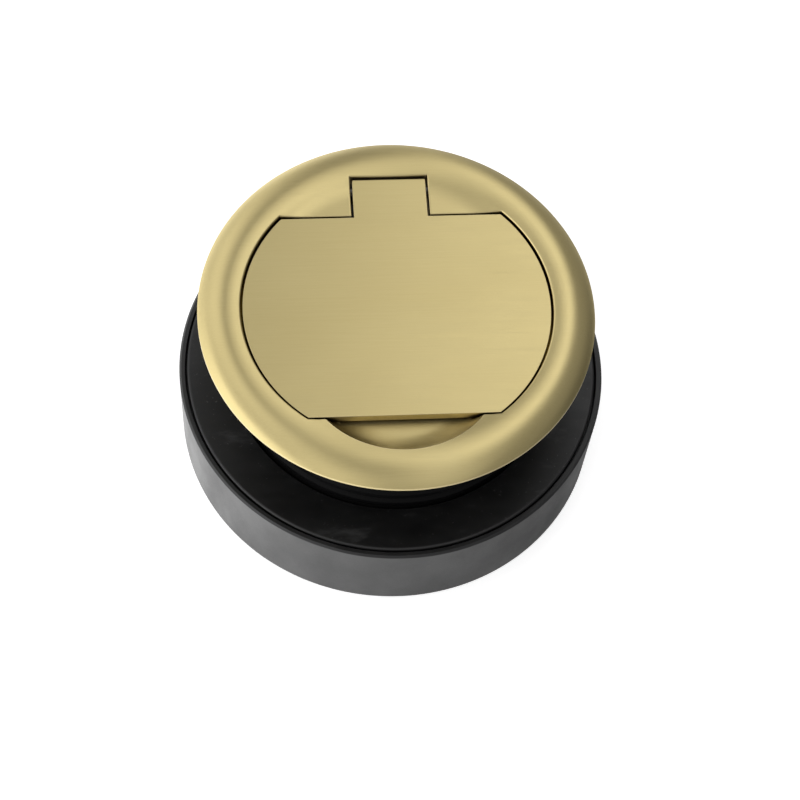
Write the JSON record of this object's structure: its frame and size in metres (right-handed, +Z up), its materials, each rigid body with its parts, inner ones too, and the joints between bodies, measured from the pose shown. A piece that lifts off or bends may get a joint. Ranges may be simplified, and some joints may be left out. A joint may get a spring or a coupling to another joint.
{
  "type": "desk grommet",
  "caption": "Round flip-lid cable grommet: domed brushed brass flange with a flush hinged lid and finger scoop, threaded plastic sleeve and wide ring nut that clamps it in a desk top.",
  "frame": {"origin": "centre of the hole in the desk top, on the flange's underside", "axes": "+Z up out of the desk, along the sleeve's axis; +Y towards the lid's hinge; -Y towards the finger scoop"},
  "size_m": [0.105, 0.105, 0.0538],
  "materials": {
    "brass_flange": "brushed, lacquered",
    "brass_lid": "brushed across, lacquered",
    "steel": "zinc plated",
    "rubber": "soft matt",
    "washer_rubber": "dusty matt",
    "black_plastic": "satin moulded"
  },
  "bodies": {
    "grommet_body": {"flange_ring": "brass_flange", "hinge_pin": "steel", "pin_keepers": "steel", "keeper_screws": "steel", "lid_bumpers": "rubber", "seat_gasket": "rubber", "threaded_sleeve": "black_plastic", "sleeve_screws": "steel"},
    "lid": {"flip_lid": "brass_lid"},
    "washer": {"clamp_washer": "washer_rubber"},
    "nut": {"lock_nut": "black_plastic"}
  },
  "joints": [
    {"name": "lid_hinge", "type": "hinge", "parent": "grommet_body", "child": "lid", "pos_m": [0, 0.0337, 0.0012], "axis": [-1, 0, 0], "range_deg": [0, 110]},
    {"name": "nut_travel", "type": "slide", "parent": "grommet_body", "child": "washer", "axis": [0, 0, 1], "range_m": [-0.0121, 0.0161]},
    {"name": "nut_spin", "type": "hinge", "parent": "washer", "child": "nut", "pos_m": [0, 0, -0.0381], "axis": [0, 0, 1], "range_deg": [-1080, 1440]}
  ],
  "couplings": [
    {"joint": "nut_travel", "follows": "nut_spin", "m_per_rad": 0.00063662}
  ]
}
